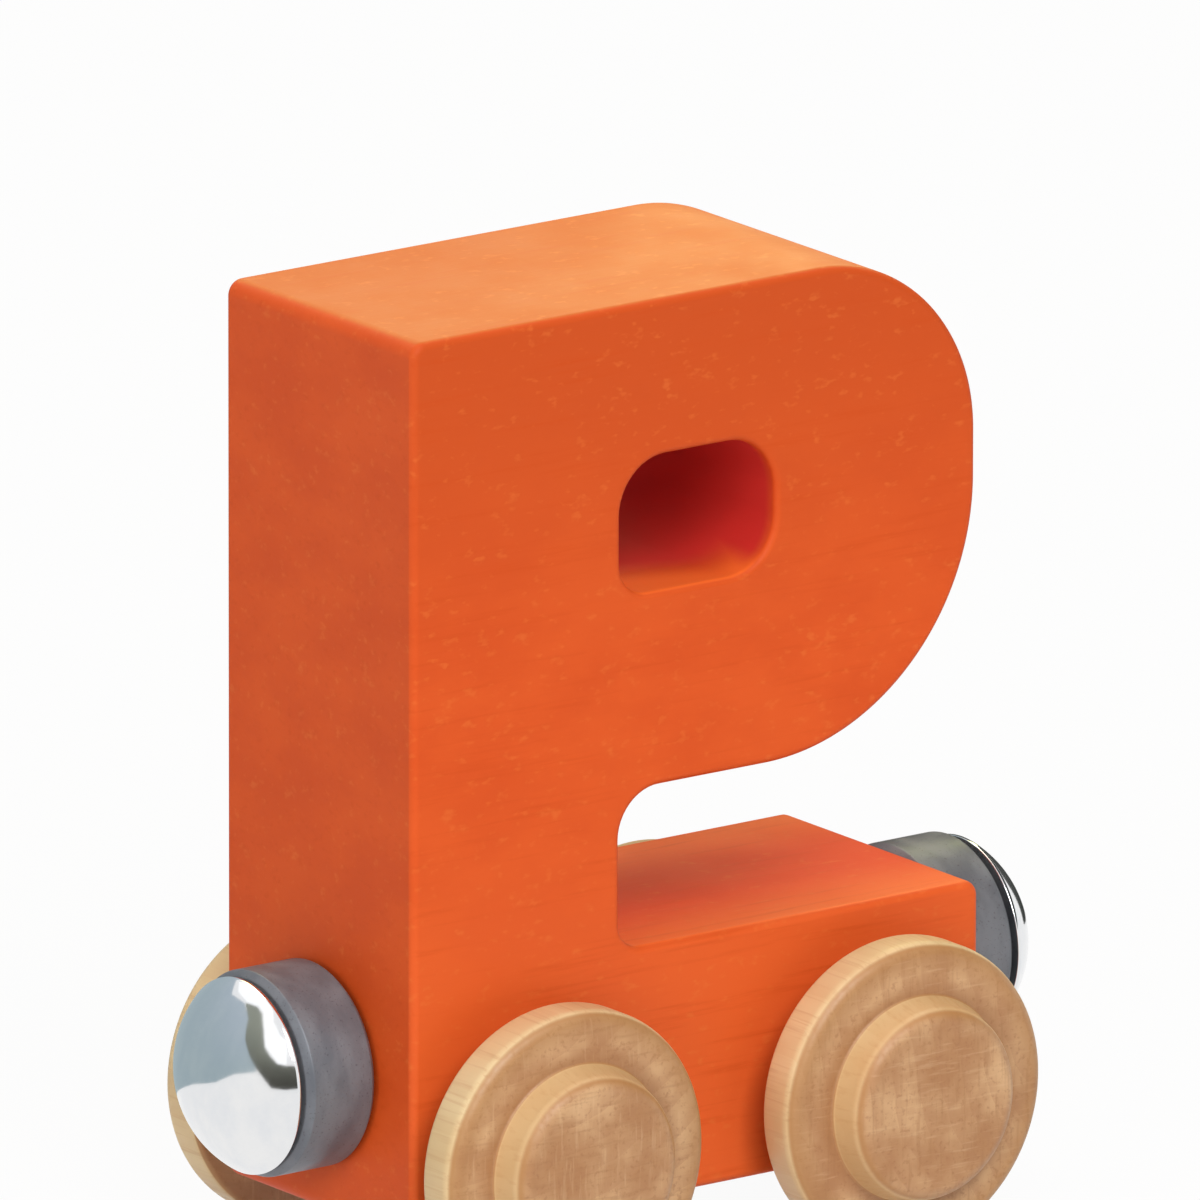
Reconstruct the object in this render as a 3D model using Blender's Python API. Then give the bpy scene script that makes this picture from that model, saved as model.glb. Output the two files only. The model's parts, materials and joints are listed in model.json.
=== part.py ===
# Letter train car: a painted wooden letter on four turned wheels, with a magnet at each end.
# Metres, +Z up, +X along the track. It stands on its wheels at z = 0, centred on x and y.

import math

import bmesh
import bpy

MM = 0.001

# Letter block, in millimetres
board = 19.05  # thickness of the block, three quarter inch stock
car_length = 42.2
letter_height = 55.7  # from the underside of the foot to the top
foot_height = 15.8
notch_height = 9.8  # open gap between the foot and the bowl
stem_width = 15.4
bowl_setback = 0.35  # how far the bowl stops short of the foot's end
bowl_low_share = 0.515  # radius of the bowl's lower sweep, as a share of the bowl's height
bowl_high_share = 0.39  # radius of the bowl's upper corner, likewise
corner_round = 1.0
foot_fillet = 1.6
bowl_fillet = 3.0
edge_ease = 0.5  # sanded round of the front and back edges

# Counter, the hole through the bowl
counter_width = 11.5  # from the stem's side
counter_height = 8.4
counter_lift_share = 0.556  # of the wood above and below the counter, how much is below
counter_round_share = 0.41  # corner radius, of the counter's own height
counter_heel_share = 0.24  # tighter corner at the foot of the stem's side
counter_ease = 0.4

# Wheelsets
wheel_diameter = 19.05
wheelbase = 25.2
axle_height = 4.75  # axle centre above the underside of the foot
axle_diameter = 3.0
axle_clearance = 0.3  # radial play of the axle in the foot
rim_gap = 2.3  # from the block's side to the back of the rim
rim_width = 2.9
rim_round = 0.9
rim_back_round = 0.4
hub_diameter = 12.6
hub_proud = 2.2
hub_round = 1.0
hub_draft = 0.3  # how much narrower the hub is at the top of its side
boss_diameter = 7.0  # collar on the back of the wheel that keeps the rim off the block
boss_play = 0.4
bore_floor = 2.2  # wood left between the blind bore and the hub's face
press_gap = 0.05

# Couplings
coupling_height = 9.4  # above the underside of the foot
ring_diameter = 12.6
ring_length = 5.0
ring_bore = 3.6
ring_chamfer = 0.4
ring_gap = 0.2  # between the block and the ring
head_gap = 0.4  # between the ring and the pin's head
pin_diameter = 2.8
pin_depth = 9.0  # how far the shank goes into the block
head_diameter = 12.0
head_rim = 0.2
head_crown = 3.3

# Segments of the round forms
turn_steps = 40
bore_steps = 32
dome_steps = 12
ease_steps = 3
corner_steps = 5
sweep_steps = 14
large_round = 5.0  # outline arcs of this radius and over take the sweep's segments

# Derived places
body_low = wheel_diameter / 2 - axle_height
half_length = car_length / 2
half_board = board / 2
stem_side = stem_width - half_length
bowl_low = foot_height + notch_height
bowl_height = letter_height - bowl_low
rim_back = half_board + rim_gap
rim_face = rim_back + rim_width
hub_face = rim_face + hub_proud
boss_back = half_board + boss_play
axle_half = hub_face - bore_floor
axle_bore = axle_diameter / 2 + axle_clearance
ring_start = half_length + ring_gap
head_start = ring_start + ring_length + head_gap


def clear_scene():
    for obj in list(bpy.data.objects):
        bpy.data.objects.remove(obj, do_unlink=True)


def material(name, colour, roughness, metallic=0.0):
    made = bpy.data.materials.new(name)
    made.use_nodes = True
    shader = made.node_tree.nodes["Principled BSDF"]
    shader.inputs["Base Color"].default_value = (*colour, 1.0)
    shader.inputs["Roughness"].default_value = roughness
    shader.inputs["Metallic"].default_value = metallic
    return made


def add_object(name, bm, made_of=None, smooth_below=35):
    bmesh.ops.recalc_face_normals(bm, faces=bm.faces[:])
    mesh = bpy.data.meshes.new(name)
    bm.to_mesh(mesh)
    bm.free()
    mesh.shade_smooth()
    mesh.set_sharp_from_angle(angle=math.radians(smooth_below))
    if made_of:
        mesh.materials.append(made_of)
    obj = bpy.data.objects.new(name, mesh)
    bpy.context.scene.collection.objects.link(obj)
    return obj


def place(obj, where, parent=None, turn=(0.0, 0.0, 0.0)):
    obj.parent = parent
    obj.location = [c * MM for c in where]
    obj.rotation_euler = [math.radians(a) for a in turn]


def pivot(name, where, parent=None):
    empty = bpy.data.objects.new(name, None)
    bpy.context.scene.collection.objects.link(empty)
    place(empty, where, parent)
    return empty


def arc(centre, radius, start, end, steps):
    """Points of an arc, in degrees, with both ends."""
    points = []
    for i in range(steps + 1):
        a = math.radians(start + (end - start) * i / steps)
        points.append((centre[0] + radius * math.cos(a), centre[1] + radius * math.sin(a)))
    return points


def rounded(corners, inset):
    """An anticlockwise outline drawn in by inset, with a tangent arc at each (x, z, radius) corner."""
    points = []
    for i, (x, z, radius) in enumerate(corners):
        before = corners[i - 1]
        after = corners[(i + 1) % len(corners)]
        into = math.atan2(z - before[1], x - before[0])
        out = math.atan2(after[1] - z, after[0] - x)
        bend = (out - into + math.pi) % (2 * math.pi) - math.pi
        side = math.copysign(1, bend)
        shift = inset / (1 + math.cos(bend))
        x -= shift * (math.sin(into) + math.sin(out))
        z += shift * (math.cos(into) + math.cos(out))
        turn = radius - side * inset
        reach = turn * math.tan(abs(bend) / 2)
        start_x = x - reach * math.cos(into)
        start_z = z - reach * math.sin(into)
        centre = (start_x - side * turn * math.sin(into), start_z + side * turn * math.cos(into))
        first = math.degrees(into) - side * 90
        steps = corner_steps if radius < large_round else sweep_steps
        points += arc(centre, turn, first, first + math.degrees(bend), steps)
    return points


def ring_of(bm, outline, y):
    return [bm.verts.new((x * MM, y * MM, z * MM)) for x, z in outline]


def loft(rings):
    """A closed solid through outlines of equal count, given as (y, outline) from front to back."""
    bm = bmesh.new()
    made = [ring_of(bm, outline, y) for y, outline in rings]
    for near, far in zip(made, made[1:]):
        for i in range(len(near)):
            j = (i + 1) % len(near)
            bm.faces.new((near[i], near[j], far[j], far[i]))
    bm.faces.new(made[0])
    bm.faces.new(made[-1])
    return bm


def turned(profile, steps):
    """A body of revolution about local Z from (radius, height) points, ends on the axis or joined up."""
    bm = bmesh.new()
    points = [bm.verts.new((r * MM, 0.0, h * MM)) for r, h in profile]
    edges = [bm.edges.new(pair) for pair in zip(points, points[1:])]
    if profile[0][0] > 0:
        edges.append(bm.edges.new((points[-1], points[0])))
    bmesh.ops.spin(
        bm,
        geom=points + edges,
        cent=(0.0, 0.0, 0.0),
        axis=(0.0, 0.0, 1.0),
        angle=2 * math.pi,
        steps=steps,
        use_merge=True,
    )
    bmesh.ops.remove_doubles(bm, verts=bm.verts[:], dist=1e-6)
    return bm


def wide(radius):
    """The corner radius of a bore whose flats stay outside this radius."""
    return radius / math.cos(math.pi / bore_steps)


def cutter(name, bm, target):
    tool = add_object(name, bm)
    tool.hide_render = True
    tool.display_type = "WIRE"
    cut = target.modifiers.new(name, "BOOLEAN")
    cut.operation = "DIFFERENCE"
    cut.solver = "EXACT"
    cut.object = tool
    return tool


def drill(radius, length):
    """A round cutter along local Z, centred."""
    bm = bmesh.new()
    bmesh.ops.create_cone(
        bm,
        cap_ends=True,
        segments=bore_steps,
        radius1=wide(radius) * MM,
        radius2=wide(radius) * MM,
        depth=length * MM,
    )
    return bm


def letter_corners():
    left = -half_length
    right = half_length
    return [
        (left, 0.0, corner_round),
        (right, 0.0, corner_round),
        (right, foot_height, corner_round),
        (stem_side, foot_height, foot_fillet),
        (stem_side, bowl_low, bowl_fillet),
        (right - bowl_setback, bowl_low, bowl_low_share * bowl_height),
        (right - bowl_setback, letter_height, bowl_high_share * bowl_height),
        (left, letter_height, corner_round),
    ]


def counter_corners():
    right = stem_side + counter_width
    low = bowl_low + counter_lift_share * (bowl_height - counter_height)
    high = low + counter_height
    heel = counter_heel_share * counter_height
    soft = counter_round_share * counter_height
    return [
        (stem_side, low, heel),
        (right, low, soft),
        (right, high, soft),
        (stem_side, high, soft),
    ]


def eased(ease, past=0.0):
    """(y, inset) stations through the block with a quarter round at each face, then on past the face."""
    back = []
    for i in range(ease_steps + 1):
        a = math.radians(90 * i / ease_steps)
        back.append((half_board - abs(ease) * (1 - math.sin(a)), ease * (1 - math.cos(a))))
    if past:
        back.append((half_board + past, ease))
    front = [(-y, inset) for y, inset in reversed(back)]
    return front + back


def prism(corners, stations):
    return loft([(y, rounded(corners, inset)) for y, inset in stations])


def letter_body(paint, parent):
    bm = prism(letter_corners(), eased(edge_ease))
    body = add_object("letter_body", bm, paint)
    place(body, (0, 0, body_low), parent)
    counter = cutter("counter_tool", prism(counter_corners(), eased(-counter_ease, board)), body)
    place(counter, (0, 0, 0), body)
    for end, side in ENDS:
        bore = cutter("axle_tool_" + end, drill(axle_bore, board * 2), body)
        place(bore, (side * wheelbase / 2, 0, axle_height), body, (90, 0, 0))
        depth = pin_depth + 2 * press_gap
        hole = cutter("pin_tool_" + end, drill(pin_diameter / 2 + press_gap, 2 * depth), body)
        place(hole, (side * half_length, 0, coupling_height), body, (0, 90, 0))
    return body


def wheel_profile():
    """Half section of a wheel, from the hub's face outwards and back to the blind bore."""
    hub = hub_diameter / 2
    top = hub - hub_draft
    rim = wheel_diameter / 2
    bore = axle_diameter / 2 + press_gap
    profile = [(0.0, hub_face)]
    profile += arc((top - hub_round, hub_face - hub_round), hub_round, 90, 0, 4)
    profile.append((hub, rim_face))
    profile += arc((rim - rim_round, rim_face - rim_round), rim_round, 90, 0, 4)
    profile += arc((rim - rim_back_round, rim_back + rim_back_round), rim_back_round, 0, -90, 2)
    profile.append((boss_diameter / 2, rim_back))
    profile.append((boss_diameter / 2, boss_back))
    profile.append((bore, boss_back))
    profile.append((bore, axle_half + press_gap))
    profile.append((0.0, axle_half + press_gap))
    return profile


def axle_profile():
    radius = axle_diameter / 2
    nose = axle_diameter / 10
    return [
        (0.0, axle_half),
        (radius - nose, axle_half),
        (radius, axle_half - nose),
        (radius, nose - axle_half),
        (radius - nose, -axle_half),
        (0.0, -axle_half),
    ]


def ring_profile():
    outer = ring_diameter / 2
    inner = ring_bore / 2
    far = ring_start + ring_length
    return [
        (inner, far),
        (outer - ring_chamfer, far),
        (outer, far - ring_chamfer),
        (outer, ring_start + ring_chamfer),
        (outer - ring_chamfer, ring_start),
        (inner, ring_start),
    ]


def pin_profile():
    """Domed head with a short upright rim, then the shank down to its blunt point."""
    radius = head_diameter / 2
    shank = pin_diameter / 2
    tip = half_length - pin_depth
    crown = (radius * radius + head_crown * head_crown) / (2 * head_crown)
    middle = head_start + head_rim + head_crown - crown
    sweep = math.degrees(math.asin(radius / crown))
    profile = arc((0.0, middle), crown, 90, 90 - sweep, dome_steps)
    profile[0] = (0.0, head_start + head_rim + head_crown)
    profile.append((radius, head_start))
    profile.append((shank, head_start))
    profile.append((shank, tip + shank))
    profile.append((shank / 2, tip))
    profile.append((0.0, tip))
    return profile


def wheelset(end, side, wood, steel, parent):
    centre = pivot("wheelset_" + end, (side * wheelbase / 2, 0, wheel_diameter / 2), parent)
    axle = add_object("axle_" + end, turned(axle_profile(), turn_steps), steel)
    place(axle, (0, 0, 0), centre, (90, 0, 0))
    for hand, turn in (("right", 90), ("left", -90)):
        wheel = add_object("wheel_" + end + "_" + hand, turned(wheel_profile(), turn_steps), wood)
        place(wheel, (0, 0, 0), centre, (turn, 0, 0))


def coupling(end, side, ferrite, chrome, parent):
    centre = pivot("coupling_" + end, (0, 0, body_low + coupling_height), parent)
    pin = add_object("pin_" + end, turned(pin_profile(), turn_steps), chrome)
    place(pin, (0, 0, 0), centre, (0, side * 90, 0))
    ring = add_object("magnet_" + end, turned(ring_profile(), turn_steps), ferrite)
    place(ring, (0, 0, 0), centre, (0, side * 90, 0))


ENDS = (("front", 1), ("rear", -1))

clear_scene()
car = pivot("letter_train_car", (0, 0, 0))
orange = material("orange_paint", (0.730, 0.107, 0.021), 0.5)
maple = material("pale_maple", (0.680, 0.440, 0.220), 0.55)
steel = material("axle_steel", (0.560, 0.560, 0.550), 0.35, 1.0)
ferrite = material("dark_ferrite", (0.055, 0.048, 0.055), 0.45, 0.2)
chrome = material("bright_chrome", (0.800, 0.810, 0.830), 0.08, 1.0)
letter_body(orange, car)
for end, side in ENDS:
    wheelset(end, side, maple, steel, car)
    coupling(end, side, ferrite, chrome, car)
bpy.context.view_layer.update()
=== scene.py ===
import json
import math

import bmesh
import bpy
from mathutils import Matrix, Vector


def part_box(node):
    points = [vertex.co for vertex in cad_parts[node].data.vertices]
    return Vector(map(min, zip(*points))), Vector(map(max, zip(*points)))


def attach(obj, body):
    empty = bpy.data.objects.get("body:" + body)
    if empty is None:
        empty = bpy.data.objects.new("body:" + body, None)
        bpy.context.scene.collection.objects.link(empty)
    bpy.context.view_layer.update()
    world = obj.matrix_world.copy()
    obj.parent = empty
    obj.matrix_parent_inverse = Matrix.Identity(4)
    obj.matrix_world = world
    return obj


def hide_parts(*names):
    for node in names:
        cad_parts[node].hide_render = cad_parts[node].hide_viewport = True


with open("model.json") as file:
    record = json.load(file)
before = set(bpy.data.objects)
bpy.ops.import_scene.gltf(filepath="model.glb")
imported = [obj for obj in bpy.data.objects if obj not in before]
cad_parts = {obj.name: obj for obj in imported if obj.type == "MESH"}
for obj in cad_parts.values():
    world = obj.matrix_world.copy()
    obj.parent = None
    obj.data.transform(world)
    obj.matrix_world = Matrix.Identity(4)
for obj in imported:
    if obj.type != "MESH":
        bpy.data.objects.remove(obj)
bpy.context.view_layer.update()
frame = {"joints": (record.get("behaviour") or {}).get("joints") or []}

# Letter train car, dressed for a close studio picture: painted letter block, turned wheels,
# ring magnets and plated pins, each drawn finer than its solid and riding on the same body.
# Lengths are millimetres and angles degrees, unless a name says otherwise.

MM = 0.001


def corners_mm(node):
    """Lowest and highest corner of a solid, in millimetres."""
    low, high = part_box(node)
    return low / MM, high / MM


# Sizes read from the frame
body_min, body_max = corners_mm("letter_body")
wheel_min, wheel_max = corners_mm("wheel_front_right")
ring_min, ring_max = corners_mm("magnet_front")
pin_min, pin_max = corners_mm("pin_front")
axle_min, axle_max = corners_mm("axle_front")
joint_at = {joint["child"]: Vector(joint["pos_m"]) / MM for joint in frame["joints"]}

body_low = body_min.z
half_length = body_max.x
half_board = body_max.y
letter_height = body_max.z - body_low
wheel_radius = (wheel_max.z - wheel_min.z) / 2
hub_face = -wheel_min.y
boss_back = -wheel_max.y
axle_radius = (axle_max.z - axle_min.z) / 2
axle_half = axle_max.y
ring_radius = (ring_max.z - ring_min.z) / 2
ring_start = ring_min.x
ring_end = ring_max.x
pin_tip = pin_min.x
crown_top = pin_max.x
head_radius = (pin_max.z - pin_min.z) / 2

# Letter block, the sizes that its box doesn't give
foot_height = 15.8
notch_height = 9.8
stem_width = 15.4
bowl_setback = 0.35
bowl_low_share = 0.515  # radius of the bowl's lower sweep, as a share of the bowl's height
bowl_high_share = 0.39  # radius of its upper corner, likewise
corner_round = 1.0
foot_fillet = 1.6
bowl_fillet = 3.0
edge_ease = 0.5
counter_width = 11.5
counter_height = 8.4
counter_lift_share = 0.556  # of the wood above and below the counter, how much is below
counter_round_share = 0.41  # corner radius, as a share of the counter's height
counter_heel_share = 0.24  # tighter corner at the foot of the stem's side, likewise
counter_ease = 0.4

# Where the letter's paint carries painted light and shade
shade_lip = 1.3  # from the block's face to where the counter's walls turn to painted shade
shade_depth = 8.0  # likewise, for the painted shade on the counter's floor and on the top of the foot
lit_lip_depth = 2.6  # depth to which the lips of the counter's floor carry painted light
shade_lean = 2.6  # how much shallower the floor's painted shade starts at the bowl's end
shade_rise = 1.2  # height over which the floor's paint turns into that of the walls
face_shading_middle = 30.0  # painted light on the faces below this height and painted shade above it
face_shading_low = 5.0  # height at which the painted light is strongest

# Wheels
rim_width = 2.9
hub_proud = 2.2
rim_round = 0.9
rim_back_round = 0.4
hub_radius = 6.3
hub_round = 1.0
hub_draft = 0.3
boss_radius = 3.5
bore_gap = 0.05
crease_round = 0.25  # small fillet where the hub meets the rim's face
crease_shade_width = 1.4  # painted shade: a brown band on the rim's face beside the hub
rim_band = 2.2  # golden band round the outside of the rim's face
axle_nose_share = 0.2  # chamfer of the axle's ends, as a share of its radius
pith_shift = (31.0, 12.0)  # from the tree's middle to the wheel's
year_width = 1.7
year_wander = 1.6  # in years
grain_turns = {  # each wheel's wood lies its own way round
    "front": {"right": 180, "left": 0},
    "rear": {"right": 270, "left": 90},
}

# Couplings
ring_bore_radius = 1.8
ring_chamfer = 0.4
ring_edge_round = 0.08
head_rim = 0.2
head_crown = 3.3
head_edge_round = 0.08
pin_radius = 1.4

# Bores of the block
axle_bore_radius = 1.8
pin_bore_gap = 0.05

# Segments of the round forms
turn_steps = 160
bore_steps = 64
ease_steps = 6
corner_steps = 12
sweep_steps = 64
large_round = 5.0  # outline arcs of this radius and over take the sweep's segments
edge_steps = 10
crease_steps = 4
soft_steps = 4
dome_steps = 24
smooth_below = 30  # faces that meet at less than this angle are shaded as one surface
merge_distance_m = 1e-7

# Derived places
stem_side = stem_width - half_length
bowl_low = foot_height + notch_height
bowl_height = letter_height - bowl_low
rim_face = hub_face - hub_proud
rim_back = rim_face - rim_width
head_start = crown_top - head_crown - head_rim
axle_height = joint_at["front_wheelset"].z - body_low
axle_reach = joint_at["front_wheelset"].x
coupling_height = joint_at["front_magnet"].z - body_low

ENDS = (("front", 1), ("rear", -1))
HANDS = (("right", 90), ("left", -90))  # with the turn that points a wheel's face outwards


# Mesh building

def add_object(name, bm, made_of=None):
    bmesh.ops.recalc_face_normals(bm, faces=bm.faces[:])
    mesh = bpy.data.meshes.new(name)
    bm.to_mesh(mesh)
    bm.free()
    mesh.shade_smooth()
    mesh.set_sharp_from_angle(angle=math.radians(smooth_below))
    if made_of:
        mesh.materials.append(made_of)
    obj = bpy.data.objects.new(name, mesh)
    bpy.context.scene.collection.objects.link(obj)
    return obj


def arc(centre, radius, start, end, steps):
    """Points of an arc with both ends."""
    points = []
    for i in range(steps + 1):
        a = math.radians(start + (end - start) * i / steps)
        points.append((centre[0] + radius * math.cos(a), centre[1] + radius * math.sin(a)))
    return points


def rounded(corners, inset):
    """An anticlockwise outline drawn in by inset, with an arc at each (x, z, radius) corner."""
    points = []
    for i, (x, z, radius) in enumerate(corners):
        before = corners[i - 1]
        after = corners[(i + 1) % len(corners)]
        into = math.atan2(z - before[1], x - before[0])
        out = math.atan2(after[1] - z, after[0] - x)
        bend = (out - into + math.pi) % (2 * math.pi) - math.pi
        side = math.copysign(1, bend)
        shift = inset / (1 + math.cos(bend))
        x -= shift * (math.sin(into) + math.sin(out))
        z += shift * (math.cos(into) + math.cos(out))
        turn = radius - side * inset
        reach = turn * math.tan(abs(bend) / 2)
        start_x = x - reach * math.cos(into)
        start_z = z - reach * math.sin(into)
        centre_x = start_x - side * turn * math.sin(into)
        centre_z = start_z + side * turn * math.cos(into)
        first = math.degrees(into) - side * 90
        steps = corner_steps if radius < large_round else sweep_steps
        points += arc((centre_x, centre_z), turn, first, first + math.degrees(bend), steps)
    return points


def loft(rings):
    """A closed solid through outlines of equal count, given as (y, outline) front to back."""
    bm = bmesh.new()
    made = []
    for y, outline in rings:
        made.append([bm.verts.new((x * MM, y * MM, z * MM)) for x, z in outline])
    for near, far in zip(made, made[1:]):
        for i in range(len(near)):
            j = (i + 1) % len(near)
            bm.faces.new((near[i], near[j], far[j], far[i]))
    bm.faces.new(made[0])
    bm.faces.new(made[-1])
    return bm


def turned(profile, steps):
    """A body turned about local Z from (radius, height) points that end on the axis or close."""
    bm = bmesh.new()
    points = [bm.verts.new((r * MM, 0.0, h * MM)) for r, h in profile]
    edges = [bm.edges.new(pair) for pair in zip(points, points[1:])]
    if profile[0][0] > 0:
        edges.append(bm.edges.new((points[-1], points[0])))
    bmesh.ops.spin(
        bm,
        geom=points + edges,
        cent=(0.0, 0.0, 0.0),
        axis=(0.0, 0.0, 1.0),
        angle=2 * math.pi,
        steps=steps,
        use_merge=True,
    )
    bmesh.ops.remove_doubles(bm, verts=bm.verts[:], dist=merge_distance_m)
    return bm


def eased(ease, past=0.0):
    """(y, inset) stations through the block, with a quarter round at each face, and on past it."""
    back = []
    for i in range(ease_steps + 1):
        a = math.radians(90 * i / ease_steps)
        back.append((half_board - abs(ease) * (1 - math.sin(a)), ease * (1 - math.cos(a))))
    if past:
        back.append((half_board + past, ease))
    front = [(-y, inset) for y, inset in reversed(back)]
    return front + back


def prism(corners, stations):
    return loft([(y, rounded(corners, inset)) for y, inset in stations])


def drill(radius, length):
    """A round cutter along local Z, centred."""
    bm = bmesh.new()
    bmesh.ops.create_cone(
        bm,
        cap_ends=True,
        segments=bore_steps,
        radius1=radius * MM,
        radius2=radius * MM,
        depth=length * MM,
    )
    return bm


def cut(target, tool):
    change = target.modifiers.new(tool.name, "BOOLEAN")
    change.operation = "DIFFERENCE"
    change.solver = "EXACT"
    change.object = tool


def settle(obj, helpers):
    """Turns an object's modifiers into its mesh and removes the helpers that they used."""
    bpy.context.view_layer.update()
    graph = bpy.context.evaluated_depsgraph_get()
    mesh = bpy.data.meshes.new_from_object(
        obj.evaluated_get(graph), preserve_all_data_layers=True, depsgraph=graph
    )
    obj.modifiers.clear()
    obj.data = mesh
    for helper in helpers:
        bpy.data.objects.remove(helper, do_unlink=True)


def seat(obj, where, turn, body, node):
    """Puts a piece in place, on its body, in the place of its solid.

    Its turn is an axis, the angle about it, and the angle about the piece's own Z before that."""
    axis, angle, own_angle = turn
    spin = Matrix.Rotation(math.radians(angle), 4, axis)
    own = Matrix.Rotation(math.radians(own_angle), 4, "Z")
    obj.matrix_world = Matrix.Translation(Vector(where) * MM) @ spin @ own
    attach(obj, body)
    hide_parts(node)


# Shader helpers

def new_tree(name):
    made = bpy.data.materials.new(name)
    made.use_nodes = True
    made.node_tree.nodes.clear()
    return made, made.node_tree


def feed(tree, socket, value):
    """Gives an input a value or another node's output."""
    if isinstance(value, bpy.types.NodeSocket):
        tree.links.new(value, socket)
    else:
        socket.default_value = value


def add(tree, kind, inputs=None, **settings):
    """Adds a node; inputs are values or sockets by input name or number."""
    node = tree.nodes.new(kind)
    for name, value in settings.items():
        setattr(node, name, value)
    for key, value in (inputs or {}).items():
        feed(tree, node.inputs[key], value)
    return node


def object_coords(tree):
    return add(tree, "ShaderNodeTexCoord").outputs["Object"]


def split(tree, vector):
    return add(tree, "ShaderNodeSeparateXYZ", {0: vector}).outputs


def grain_noise(tree, coords, size, detail=3.0, rough=0.55):
    """Noise whose features have this size, in mm along each axis."""
    scale = [1.0 / (length * MM) for length in size]
    place = add(tree, "ShaderNodeMapping", {"Vector": coords, "Scale": scale}).outputs[0]
    inputs = {"Vector": place, "Scale": 1.0, "Detail": detail, "Roughness": rough}
    return add(tree, "ShaderNodeTexNoise", inputs).outputs["Fac"]


def between(tree, value, low, high, to_low=0.0, to_high=1.0):
    """A smooth step of a value from low..high to to_low..to_high."""
    inputs = {"Value": value, "From Min": low, "From Max": high}
    inputs.update({"To Min": to_low, "To Max": to_high})
    node = add(tree, "ShaderNodeMapRange", inputs, interpolation_type="SMOOTHSTEP")
    return node.outputs[0]


def maths(tree, operation, first, second=0.0):
    return add(tree, "ShaderNodeMath", {0: first, 1: second}, operation=operation).outputs[0]


def times(tree, first, second):
    return maths(tree, "MULTIPLY", first, second)


def from_axis(tree, coords, shift=(0.0, 0.0)):
    """Distance in metres from a line along local Z that lies this far from the middle."""
    to_line = (shift[0] * MM, shift[1] * MM, 0.0)
    moved = add(tree, "ShaderNodeMapping", {"Vector": coords, "Location": to_line}).outputs[0]
    inputs = {0: moved, 1: (1.0, 1.0, 0.0)}
    flat = add(tree, "ShaderNodeVectorMath", inputs, operation="MULTIPLY").outputs[0]
    return add(tree, "ShaderNodeVectorMath", {0: flat}, operation="LENGTH").outputs["Value"]


def blend(tree, share, first, second):
    """A colour between two colours, each a value or a socket."""
    node = add(tree, "ShaderNodeMix", data_type="RGBA")
    share_input, first_input, second_input = 0, 6, 7
    feed(tree, node.inputs[share_input], share)
    feed(tree, node.inputs[first_input], first)
    feed(tree, node.inputs[second_input], second)
    return node.outputs[2]


def clouded(tree, noise, first, second):
    """A colour that drifts between two colours."""
    return blend(tree, between(tree, noise, 0.3, 0.7), first, second)


def flecked(tree, under, noise, start, full, most, over):
    """A colour with another over it, most where a noise is full and none below its start."""
    return blend(tree, between(tree, noise, start, full, 0.0, most), under, over)


def bump(tree, height, depth_mm, strength, under=None):
    inputs = {"Height": height, "Distance": depth_mm * MM, "Strength": strength}
    if under:
        inputs["Normal"] = under
    return add(tree, "ShaderNodeBump", inputs).outputs[0]


def surface(tree, colour, rough, normal, **constants):
    """Ends a material; constants are inputs that are the same all over."""
    inputs = {"Base Color": colour, "Roughness": rough, "Normal": normal}
    for name, value in constants.items():
        inputs[name.replace("_", " ")] = value
    shader = add(tree, "ShaderNodeBsdfPrincipled", inputs)
    add(tree, "ShaderNodeOutputMaterial", {"Surface": shader.outputs[0]})


def rgb(red, green, blue):
    """A linear colour from 0..255 display values."""
    channels = []
    for level in (red, green, blue):
        share = level / 255
        linear = share / 12.92 if share <= 0.04045 else ((share + 0.055) / 1.055) ** 2.4
        channels.append(linear)
    return (*channels, 1.0)


# Materials

def counter_painted_shading(tree, place, rising):
    """Two masks: painted shade deep in the counter, on its walls and floor, and painted light on
    the lips of its floor.
    """
    xs = [x for x, z, radius in counter_corners()]
    zs = [z for x, z, radius in counter_corners()]
    off_middle = maths(tree, "ABSOLUTE", place["Y"])
    past_lip = between(tree, off_middle, half_board * MM, (half_board - shade_lip) * MM)
    lean = between(tree, place["X"], min(xs) * MM, max(xs) * MM, 0.0, shade_lean * MM)
    inset = maths(tree, "SUBTRACT", off_middle, lean)
    deep = between(tree, inset, (half_board - lit_lip_depth) * MM, (half_board - shade_depth) * MM)
    raised = between(tree, place["Z"], min(zs) * MM, (min(zs) + shade_rise) * MM)
    level = between(tree, rising, 0.6, 0.97)
    painted_shade = times(tree, past_lip, maths(tree, "MAXIMUM", deep, raised))
    painted_light = times(tree, maths(tree, "SUBTRACT", 1.0, deep), level)
    for axis, low, high in (("X", min(xs), max(xs)), ("Z", min(zs), max(zs))):
        middle = (low + high) / 2
        reach = (high - low) / 2 + counter_ease
        away = maths(tree, "ABSOLUTE", maths(tree, "SUBTRACT", place[axis], middle * MM))
        inside = maths(tree, "LESS_THAN", away, reach * MM)
        painted_shade = times(tree, painted_shade, inside)
        painted_light = times(tree, painted_light, inside)
    return painted_shade, painted_light


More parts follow.
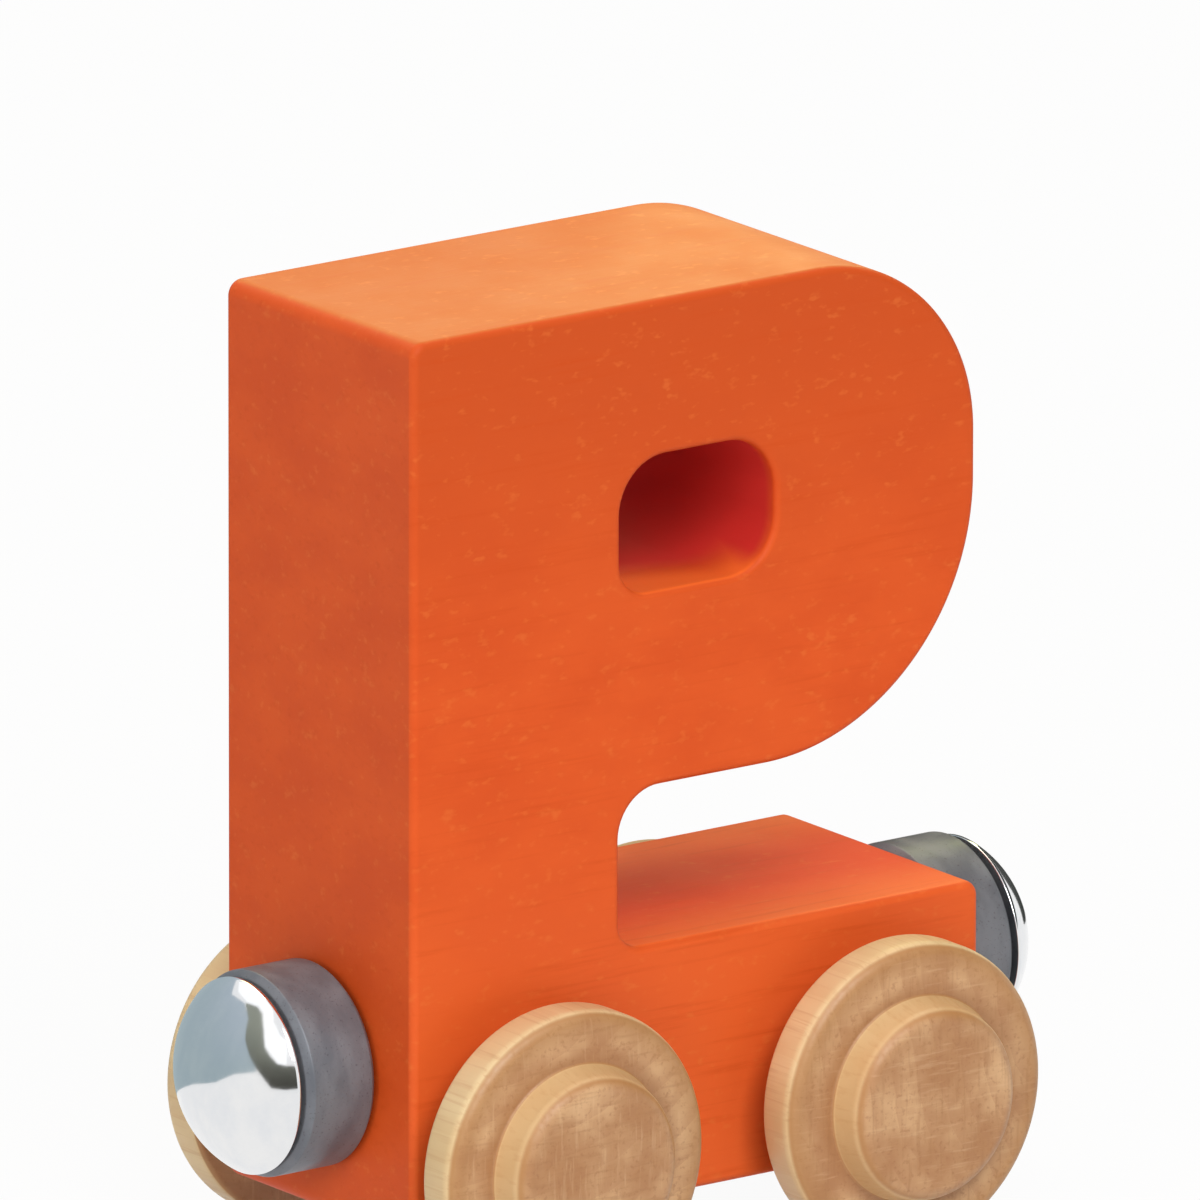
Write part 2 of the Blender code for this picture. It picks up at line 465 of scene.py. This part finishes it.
def orange_paint():
    """Satin paint on close-grained wood: cloudy, with faint grain along the board and specks, and
    with painted light and shade on the faces, on the foot's top, on the letter's top and in the
    counter.
    """
    main, lighter = rgb(219, 82, 27), rgb(227, 90, 33)
    face_painted_light, face_painted_shade = rgb(236, 101, 43), rgb(207, 80, 26)
    ledge_painted_light, ledge_painted_shade, top = rgb(250, 110, 42), rgb(230, 70, 28), rgb(208, 90, 10)
    grain_line, pale_speck = rgb(207, 71, 8), rgb(240, 132, 62)
    # painted light for the lips of the counter's floor and painted shade for deep inside the
    # counter
    painted_lit_lip, counter_painted_shade_red = rgb(254, 114, 46), rgb(206, 46, 38)

    made, tree = new_tree("orange_paint")
    source = add(tree, "ShaderNodeTexCoord")
    coords = source.outputs["Object"]
    place = split(tree, coords)
    facing = split(tree, source.outputs["Normal"])
    cloud = grain_noise(tree, coords, (7.0, 7.0, 4.0), 4.0)
    grain = grain_noise(tree, coords, (9.0, 0.7, 0.45), 4.0, 0.6)
    speck = grain_noise(tree, coords, (0.9, 0.7, 0.5), 2.0, 0.5)
    fine = grain_noise(tree, coords, (0.35, 0.25, 0.2))

    colour = clouded(tree, cloud, main, lighter)
    # painted light low on the faces and painted shade high on them
    on_face = maths(tree, "ABSOLUTE", facing["Y"])
    low_down = between(tree, place["Z"], face_shading_middle * MM, face_shading_low * MM)
    colour = blend(tree, times(tree, low_down, on_face), colour, face_painted_light)
    high_up = between(tree, place["Z"], face_shading_middle * MM, letter_height * MM)
    colour = blend(tree, times(tree, high_up, on_face), colour, face_painted_shade)

    # painted light on the foot's top near the faces and painted shade further in, under the bowl
    off_middle = maths(tree, "ABSOLUTE", place["Y"])
    inward = between(tree, off_middle, half_board * MM, (half_board - shade_depth) * MM)
    ledge = blend(tree, inward, ledge_painted_light, ledge_painted_shade)
    # painted light: the letter's top has a golden tone of its own to go with the warm light that
    # falls on it
    above_notch = maths(tree, "GREATER_THAN", place["Z"], bowl_low * MM)
    upward = between(tree, facing["Z"], 0.8, 0.99)
    colour = blend(tree, upward, colour, blend(tree, above_notch, ledge, top))

    colour = flecked(tree, colour, grain, 0.52, 0.78, 0.35, grain_line)
    colour = flecked(tree, colour, speck, 0.58, 0.80, 0.26, pale_speck)
    # painted light on the lips of the counter's floor, painted shade deep inside the counter
    painted_shade, painted_light = counter_painted_shading(tree, place, facing["Z"])
    colour = blend(tree, painted_light, colour, painted_lit_lip)
    colour = blend(tree, painted_shade, colour, counter_painted_shade_red)

    normal = bump(tree, grain, 0.05, 0.25)
    normal = bump(tree, fine, 0.02, 0.3, normal)
    rough = between(tree, cloud, 0.25, 0.75, 0.46, 0.58)
    rough = maths(tree, "MAXIMUM", rough, painted_shade)
    surface(tree, colour, rough, normal, Specular_IOR_Level=0.18)
    return made


def pale_maple():
    """Bare turned maple: darker pored end grain on the faces, paler long grain on the tread,
    partly real and partly painted light, and painted shade in the crease beside the hub and on the
    hub's side.
    """
    face_dark, face_light = rgb(174, 122, 76), rgb(215, 171, 124)
    face_late, face_pore = rgb(172, 119, 76), rgb(158, 106, 66)
    face_streak, face_ray = rgb(160, 109, 64), rgb(222, 182, 138)
    side_dark, side_light = rgb(224, 190, 137), rgb(236, 207, 156)
    side_late, side_pore, hub_side_painted_shade = rgb(216, 174, 120), rgb(204, 155, 108), rgb(206, 156, 100)
    crease_painted_shade, rim_gold, edge_burn = rgb(152, 100, 56), rgb(172, 118, 62), rgb(178, 122, 66)

    made, tree = new_tree("pale_maple")
    source = add(tree, "ShaderNodeTexCoord")
    coords = source.outputs["Object"]
    facing = split(tree, source.outputs["Normal"])["Z"]
    end_grain = between(tree, maths(tree, "ABSOLUTE", facing), 0.45, 0.95)
    cloud = grain_noise(tree, coords, (5.0, 5.0, 14.0))
    pores = grain_noise(tree, coords, (0.32, 0.32, 9.0), 3.0, 0.6)
    rays = grain_noise(tree, coords, (2.6, 0.28, 5.0), 3.0, 0.6)
    streaks = grain_noise(tree, coords, (0.34, 3.4, 8.0), 3.0, 0.6)
    wander = grain_noise(tree, coords, (7.0, 7.0, 60.0), 2.0)
    years = times(tree, from_axis(tree, coords, pith_shift), 1 / (year_width * MM))
    years = maths(tree, "ADD", years, times(tree, wander, year_wander))
    late = between(tree, maths(tree, "FRACT", years), 0.35, 0.95)

    face = clouded(tree, cloud, face_dark, face_light)
    face = blend(tree, times(tree, late, 0.3), face, face_late)
    face = flecked(tree, face, pores, 0.52, 0.72, 0.5, face_pore)
    face = flecked(tree, face, streaks, 0.5, 0.7, 0.36, face_streak)
    face = flecked(tree, face, rays, 0.52, 0.74, 0.3, face_ray)

    off_axis = from_axis(tree, coords)
    # painted shade in the crease beside the hub
    crease = between(tree, off_axis, (hub_radius + crease_shade_width) * MM, hub_radius * MM)
    past_hub = maths(tree, "GREATER_THAN", off_axis, (hub_radius - hub_draft) * MM)
    crease = times(tree, crease, past_hub)
    crease = times(tree, crease, between(tree, cloud, 0.3, 0.6, 0.25, 0.75))
    face = blend(tree, crease, face, crease_painted_shade)
    band_start = wheel_radius - rim_band
    band_full = wheel_radius - rim_round / 2
    rim_edge = between(tree, off_axis, band_start * MM, band_full * MM)
    rim_edge = times(tree, rim_edge, between(tree, cloud, 0.3, 0.6, 0.3, 0.65))
    face = blend(tree, rim_edge, face, rim_gold)

    side = clouded(tree, cloud, side_dark, side_light)
    side = blend(tree, times(tree, late, 0.2), side, side_late)
    side = flecked(tree, side, pores, 0.5, 0.75, 0.45, side_pore)
    # painted shade on the hub's side
    on_hub = maths(tree, "LESS_THAN", off_axis, (hub_radius + crease_round) * MM)
    side = blend(tree, times(tree, on_hub, 0.45), side, hub_side_painted_shade)

    # the tread's paler long grain is partly real and partly painted light
    colour = blend(tree, end_grain, side, face)
    burnish = times(tree, end_grain, maths(tree, "SUBTRACT", 1.0, end_grain))
    colour = blend(tree, times(tree, burnish, 3.0), colour, edge_burn)
    rough = between(tree, pores, 0.3, 0.7, 0.38, 0.52)
    normal = bump(tree, pores, 0.04, 0.3)
    surface(tree, colour, rough, normal, Specular_IOR_Level=0.6)
    return made


def dark_ferrite():
    """Pressed ferrite with a ground skin: grey, faint turning marks round it and fine pits."""
    dark, light, pit = rgb(107, 109, 114), rgb(125, 127, 131), rgb(78, 71, 73)
    cool_gloss = (0.74, 0.84, 1.0, 1.0)

    made, tree = new_tree("dark_ferrite")
    coords = object_coords(tree)
    cloud = grain_noise(tree, coords, (3.0, 3.0, 1.6), 4.0)
    pits = grain_noise(tree, coords, (0.16, 0.16, 0.16), 2.0)
    lines = grain_noise(tree, coords, (8.0, 8.0, 0.10), 2.0)
    colour = clouded(tree, cloud, dark, light)
    colour = flecked(tree, colour, pits, 0.60, 0.75, 0.6, pit)
    rough = between(tree, cloud, 0.3, 0.7, 0.34, 0.48)
    normal = bump(tree, lines, 0.01, 0.35)
    normal = bump(tree, pits, 0.02, 0.3, normal)
    surface(
        tree,
        colour,
        rough,
        normal,
        Metallic=0.15,
        Specular_IOR_Level=0.35,
        Specular_Tint=cool_gloss,
    )
    return made


def bright_chrome():
    """Bright plating with the faint smears and hairlines of handling."""
    made, tree = new_tree("bright_chrome")
    coords = object_coords(tree)
    smear = grain_noise(tree, coords, (4.0, 2.4, 3.0), 4.0, 0.6)
    hair = grain_noise(tree, coords, (0.10, 5.0, 5.0), 2.0)
    colour = clouded(tree, smear, rgb(226, 228, 231), rgb(236, 236, 236))
    smeared = between(tree, smear, 0.35, 0.75, 0.08, 0.13)
    scratched = between(tree, hair, 0.60, 0.80, 0.0, 0.03)
    rough = maths(tree, "ADD", smeared, scratched)
    normal = bump(tree, smear, 0.01, 0.08)
    surface(tree, colour, rough, normal, Metallic=1.0)
    return made


def axle_steel():
    """Drawn rod: fine lines along its length and dull patches."""
    made, tree = new_tree("axle_steel")
    coords = object_coords(tree)
    drawn = grain_noise(tree, coords, (0.12, 0.12, 12.0))
    dull = grain_noise(tree, coords, (2.0, 2.0, 3.0))
    patches = between(tree, dull, 0.35, 0.7)
    colour = blend(tree, patches, rgb(196, 196, 194), rgb(168, 166, 162))
    rough = between(tree, dull, 0.3, 0.7, 0.26, 0.42)
    normal = bump(tree, drawn, 0.01, 0.3)
    surface(tree, colour, rough, normal, Metallic=1.0)
    return made


# Pieces

def letter_corners():
    left = -half_length
    right = half_length
    return [
        (left, 0.0, corner_round),
        (right, 0.0, corner_round),
        (right, foot_height, corner_round),
        (stem_side, foot_height, foot_fillet),
        (stem_side, bowl_low, bowl_fillet),
        (right - bowl_setback, bowl_low, bowl_low_share * bowl_height),
        (right - bowl_setback, letter_height, bowl_high_share * bowl_height),
        (left, letter_height, corner_round),
    ]


def counter_corners():
    right = stem_side + counter_width
    low = bowl_low + counter_lift_share * (bowl_height - counter_height)
    high = low + counter_height
    heel = counter_heel_share * counter_height
    soft = counter_round_share * counter_height
    return [
        (stem_side, low, heel),
        (right, low, soft),
        (right, high, soft),
        (stem_side, high, soft),
    ]


def letter_block(paint):
    block = add_object("painted_letter", prism(letter_corners(), eased(edge_ease)), paint)
    counter = prism(counter_corners(), eased(-counter_ease, half_board))
    tools = [add_object("counter_tool", counter)]
    through = 4 * half_board
    pin_depth = half_length - pin_tip + 2 * pin_bore_gap
    for end, side in ENDS:
        bore = add_object("axle_tool_" + end, drill(axle_bore_radius, through))
        bore.location = Vector((side * axle_reach, 0.0, axle_height)) * MM
        bore.rotation_euler.x = math.radians(90)
        hole = add_object("pin_tool_" + end, drill(pin_radius + pin_bore_gap, 2 * pin_depth))
        hole.location = Vector((side * half_length, 0.0, coupling_height)) * MM
        hole.rotation_euler.y = math.radians(90)
        tools += [bore, hole]
    for tool in tools:
        cut(block, tool)
    even = block.modifiers.new("even_shading", "WEIGHTED_NORMAL")
    even.keep_sharp = True
    even.weight = 100
    settle(block, tools)
    seat(block, (0.0, 0.0, body_low), ("Z", 0, 0), "car", "letter_body")


def wheel_profile():
    """Half section of a wheel, from the hub's face outwards and back to the blind bore."""
    top = hub_radius - hub_draft
    bore = axle_radius + bore_gap
    hub_edge = (top - hub_round, hub_face - hub_round)
    crease = (hub_radius + crease_round, rim_face + crease_round)
    rim_edge = (wheel_radius - rim_round, rim_face - rim_round)
    back_edge = (wheel_radius - rim_back_round, rim_back + rim_back_round)
    profile = [(0.0, hub_face)]
    profile += arc(hub_edge, hub_round, 90, 0, edge_steps)
    profile += arc(crease, crease_round, 180, 270, crease_steps)
    profile += arc(rim_edge, rim_round, 90, 0, edge_steps)
    profile += arc(back_edge, rim_back_round, 0, -90, edge_steps // 2)
    profile.append((boss_radius, rim_back))
    profile.append((boss_radius, boss_back))
    profile.append((bore, boss_back))
    profile.append((bore, axle_half + bore_gap))
    profile.append((0.0, axle_half + bore_gap))
    return profile


def axle_profile():
    nose = axle_nose_share * axle_radius
    return [
        (0.0, axle_half),
        (axle_radius - nose, axle_half),
        (axle_radius, axle_half - nose),
        (axle_radius, nose - axle_half),
        (axle_radius - nose, -axle_half),
        (0.0, -axle_half),
    ]


def softened(profile, round_by):
    """An open profile with each inner corner cut back by a short curve."""
    made = [profile[0]]
    for before, point, after in zip(profile, profile[1:], profile[2:]):
        corner = Vector(point)
        first = corner + (Vector(before) - corner).normalized() * round_by
        last = corner + (Vector(after) - corner).normalized() * round_by
        for i in range(soft_steps + 1):
            t = i / soft_steps
            along = first.lerp(corner, t).lerp(corner.lerp(last, t), t)
            made.append((along.x, along.y))
    made.append(profile[-1])
    return made


def ring_profile():
    corners = [
        (ring_bore_radius, ring_end),
        (ring_radius - ring_chamfer, ring_end),
        (ring_radius, ring_end - ring_chamfer),
        (ring_radius, ring_start + ring_chamfer),
        (ring_radius - ring_chamfer, ring_start),
        (ring_bore_radius, ring_start),
    ]
    return softened(corners, ring_edge_round)


def pin_profile():
    """Domed head with a short upright rim, then the shank down to its blunt point."""
    crown = (head_radius * head_radius + head_crown * head_crown) / (2 * head_crown)
    middle = crown_top - crown
    sweep = math.degrees(math.asin(head_radius / crown))
    dome = arc((0.0, middle), crown, 90, 90 - sweep, dome_steps)
    dome[0] = (0.0, crown_top)
    rest = [
        dome[-2],
        dome[-1],
        (head_radius, head_start),
        (pin_radius, head_start),
        (pin_radius, pin_tip + pin_radius),
        (pin_radius / 2, pin_tip),
        (0.0, pin_tip),
    ]
    return dome[:-2] + softened(rest, head_edge_round)


def wheelset(end, side, wood, steel):
    body = end + "_wheelset"
    centre = (side * axle_reach, 0.0, joint_at[body].z)
    axle = add_object("rod_" + end, turned(axle_profile(), bore_steps), steel)
    seat(axle, centre, ("X", 90, 0), body, "axle_" + end)
    for hand, outward in HANDS:
        place = end + "_" + hand
        wheel = add_object("turned_wheel_" + place, turned(wheel_profile(), turn_steps), wood)
        turn = ("X", outward, grain_turns[end][hand])
        seat(wheel, centre, turn, body, "wheel_" + place)


def coupling(end, side, ferrite, chrome):
    body = end + "_magnet"
    centre = (0.0, 0.0, joint_at[body].z)
    turn = ("Y", side * 90, 0)
    pin = add_object("domed_pin_" + end, turned(pin_profile(), turn_steps), chrome)
    seat(pin, centre, turn, "car", "pin_" + end)
    ring = add_object("ring_magnet_" + end, turned(ring_profile(), turn_steps), ferrite)
    seat(ring, centre, turn, body, "magnet_" + end)


# Studio
floor_size_m = 4.0
floor_white_share = 0.95  # of what shows of the floor, how much is plain white and not lit
world_strength = 0.25
lamp_aim_m = (0.0, 0.0, 0.03)


def background_ray(tree):
    """One for rays that show the background: from the camera, off a gloss or through glass."""
    path = add(tree, "ShaderNodeLightPath").outputs
    seen = maths(tree, "MAXIMUM", path["Is Camera Ray"], path["Is Glossy Ray"])
    return maths(tree, "MAXIMUM", seen, path["Is Transmission Ray"])


def floor_finish():
    """Matt pale sweep, most of it shown as plain white and the rest lit, to keep the shadow."""
    made, tree = new_tree("white_sweep")
    cloud = grain_noise(tree, object_coords(tree), (90.0, 90.0, 90.0), 2.0)
    colour = blend(tree, cloud, (0.70, 0.70, 0.70, 1.0), (0.74, 0.74, 0.74, 1.0))
    matt = add(tree, "ShaderNodeBsdfDiffuse", {"Color": colour}).outputs[0]
    white = add(tree, "ShaderNodeEmission", {"Strength": 1.0}).outputs[0]
    share = times(tree, background_ray(tree), floor_white_share)
    shown = add(tree, "ShaderNodeMixShader", {0: share, 1: matt, 2: white})
    add(tree, "ShaderNodeOutputMaterial", {"Surface": shown.outputs[0]})
    return made


def studio():
    bm = bmesh.new()
    bmesh.ops.create_grid(bm, x_segments=2, y_segments=2, size=floor_size_m)
    floor = add_object("floor", bm, floor_finish())
    world = bpy.data.worlds.new("studio")
    bpy.context.scene.world = world
    world.use_nodes = True
    tree = world.node_tree
    tree.nodes.clear()
    cool = {"Color": (0.95, 0.97, 1.0, 1.0), "Strength": world_strength}
    soft = add(tree, "ShaderNodeBackground", cool).outputs[0]
    plain = {"Color": (1.0, 1.0, 1.0, 1.0), "Strength": 1.0}
    white = add(tree, "ShaderNodeBackground", plain).outputs[0]
    mixed = add(tree, "ShaderNodeMixShader", {0: background_ray(tree), 1: soft, 2: white})
    add(tree, "ShaderNodeOutputWorld", {"Surface": mixed.outputs[0]})


def toward(side, reach, azimuth, elevation):
    """A point in this direction from the middle of a pin's head, no lower than the floor."""
    eye = Vector((side * (head_start + crown_top) / 2, 0.0, coupling_height + body_low))
    around = math.radians(azimuth)
    up = math.radians(elevation)
    level = math.cos(up)
    sight = Vector((level * math.cos(around), level * math.sin(around), math.sin(up)))
    if sight.z < 0:
        reach = min(reach, -eye.z / sight.z)
    return eye + sight * reach


def card(name, side, reach, low_edge, high_edge, tones, strength=1.0):
    """A studio card shown by gloss alone, its tone going from the first at its foot to the last.

    Its two edges are lines of (azimuth, elevation) as the plated head on that side sees them."""
    bm = bmesh.new()
    low_points = [toward(side, reach, *sight) * MM for sight in low_edge]
    high_points = [toward(side, reach, *sight) * MM for sight in high_edge]
    low = [bm.verts.new(point) for point in low_points]
    high = [bm.verts.new(point) for point in high_points]
    for i in range(len(low) - 1):
        bm.faces.new((low[i], low[i + 1], high[i + 1], high[i]))
    made, tree = new_tree(name)
    height = split(tree, object_coords(tree))["Z"]
    bottom = min(point.z for point in low_points)
    top = max(point.z for point in high_points)
    tone = blend(tree, between(tree, height, bottom, top), tones[0], tones[-1])
    glow = add(tree, "ShaderNodeEmission", {"Color": tone, "Strength": strength})
    add(tree, "ShaderNodeOutputMaterial", {"Surface": glow.outputs[0]})
    obj = add_object(name, bm, made)
    obj.visible_camera = False
    obj.visible_diffuse = False
    obj.visible_shadow = False


def soft_box(name, where_m, size_m, watts, colour=(1.0, 1.0, 1.0), mirrored=True):
    """A lamp aimed at the car; one that isn't mirrored leaves no highlight."""
    lamp = bpy.data.lights.new(name, "AREA")
    lamp.shape = "RECTANGLE"
    lamp.size, lamp.size_y = size_m
    lamp.energy = watts
    lamp.color = colour
    obj = bpy.data.objects.new(name, lamp)
    obj.location = where_m
    aim = Vector(lamp_aim_m) - Vector(where_m)
    obj.rotation_euler = aim.to_track_quat("-Z", "Y").to_euler()
    obj.visible_glossy = mirrored
    bpy.context.scene.collection.objects.link(obj)


# Camera, from the edges of the block in the picture, a square of 1200 pixels
picture_side = 1200
view_azimuth = 36.315
view_elevation = 15.341
view_roll = 0.076
view_distance = 2333.7
focal_pixels = 38930.5
aim_x = -0.278
aim_z = 34.58  # above the underside of the foot
sensor = 36.0
clip_end_m = 20.0


def camera():
    around = math.radians(view_azimuth)
    up = math.radians(view_elevation)
    ahead = math.cos(up)
    forward = Vector((math.sin(around) * ahead, math.cos(around) * ahead, -math.sin(up)))
    level = Vector((math.cos(around), -math.sin(around), 0.0))
    upright = level.cross(forward)
    roll = math.radians(view_roll)
    right = math.cos(roll) * level + math.sin(roll) * upright
    above = math.cos(roll) * upright - math.sin(roll) * level
    lens = bpy.data.cameras.new("camera")
    lens.sensor_width = sensor
    lens.sensor_height = sensor
    lens.sensor_fit = "HORIZONTAL"
    lens.lens = focal_pixels / picture_side * sensor
    lens.clip_end = clip_end_m
    eye = bpy.data.objects.new("camera", lens)
    stand = Vector((aim_x, 0.0, aim_z + body_low)) - forward * view_distance
    place = Matrix((right, above, -forward)).transposed().to_4x4()
    eye.matrix_world = Matrix.Translation(stand * MM) @ place
    bpy.context.scene.collection.objects.link(eye)
    bpy.context.scene.camera = eye


# The object
paint = orange_paint()
wood = pale_maple()
steel = axle_steel()
ferrite = dark_ferrite()
chrome = bright_chrome()
letter_block(paint)
for end, side in ENDS:
    wheelset(end, side, wood, steel)
    coupling(end, side, ferrite, chrome)

# What the plated heads, the rings and the top of the letter mirror; side is 1 for the front end
studio()
card(
    "grey_wall",
    side=-1,
    reach=120.0,
    low_edge=[(40, -14), (89, -20), (125, -15.5), (157, -9), (178, 2), (201, 8)],
    high_edge=[(40, 38), (89, 38), (110, 43), (137, 55), (160, 53), (178, 47)],
    tones=[rgb(168, 184, 190), rgb(184, 196, 206)],
)
card(
    "dark_room_left",
    side=-1,
    reach=105.0,
    low_edge=[
        (158, 53.5), (166, 51), (180, 34), (191, 22), (200, 12),
        (208, 4), (217, -6), (230, -7), (250, -5),
    ],
    high_edge=[
        (137, 56), (160, 63), (180, 61), (198, 47), (206, 32),
        (213, 25), (222, 17.5), (231, 16), (250, 16),
    ],
    tones=[rgb(76, 75, 69), rgb(150, 154, 142)],
)
card(
    "window_left",
    side=-1,
    reach=130.0,
    low_edge=[
        (92, 42), (110, 48), (137, 57), (160, 64), (180, 62),
        (198, 48), (206, 33), (222, 18.5), (231, 17),
    ],
    high_edge=[
        (92, 62), (110, 70), (137, 78), (160, 82), (180, 80),
        (198, 70), (206, 58), (222, 45), (231, 40),
    ],
    tones=[rgb(255, 255, 255)],
    strength=1.3,
)
card(
    "dark_room_back",
    side=1,
    reach=62.0,
    low_edge=[(21, -9), (30, -11), (42, -13), (54, -15), (66, -15), (100, -15)],
    high_edge=[(21, 16), (30, 20), (42, 32), (54, 46), (66, 54), (100, 54)],
    tones=[rgb(64, 66, 64), rgb(110, 112, 110)],
)
card(
    "dark_room_right",
    side=1,
    reach=140.0,
    low_edge=[(-70, 8), (-30, 12), (0, 16), (40, 18)],
    high_edge=[(-70, 42), (-30, 60), (0, 68), (40, 62)],
    tones=[rgb(64, 66, 66), rgb(80, 82, 82)],
)
card(
    "warm_window",
    side=1,
    reach=260.0,
    low_edge=[(25, 18), (60, 18), (95, 18)],
    high_edge=[(25, 55), (60, 55), (95, 55)],
    tones=[(0.95, 0.95, 0.42, 1.0)],
    strength=4.8,
)

# Lamps
warm = (1.0, 0.90, 0.70)
pale_warm = (1.0, 0.94, 0.74)
cool = (0.97, 1.0, 1.12)
soft_box("overhead", (0.20, 0.32, 0.90), (0.9, 0.5), 3.3, warm)
soft_box("key", (-0.26, -0.78, 0.72), (0.6, 0.6), 8.0)
soft_box("left_fill", (-0.96, -0.42, 0.25), (0.6, 0.5), 2.5, cool, mirrored=False)
soft_box("back_warm", (0.55, 0.72, 0.72), (0.8, 0.6), 0.25, pale_warm)
soft_box("back_fill", (0.30, 1.00, 0.16), (0.7, 0.3), 2.0, mirrored=False)
camera()
bpy.context.scene.view_settings.view_transform = "Standard"
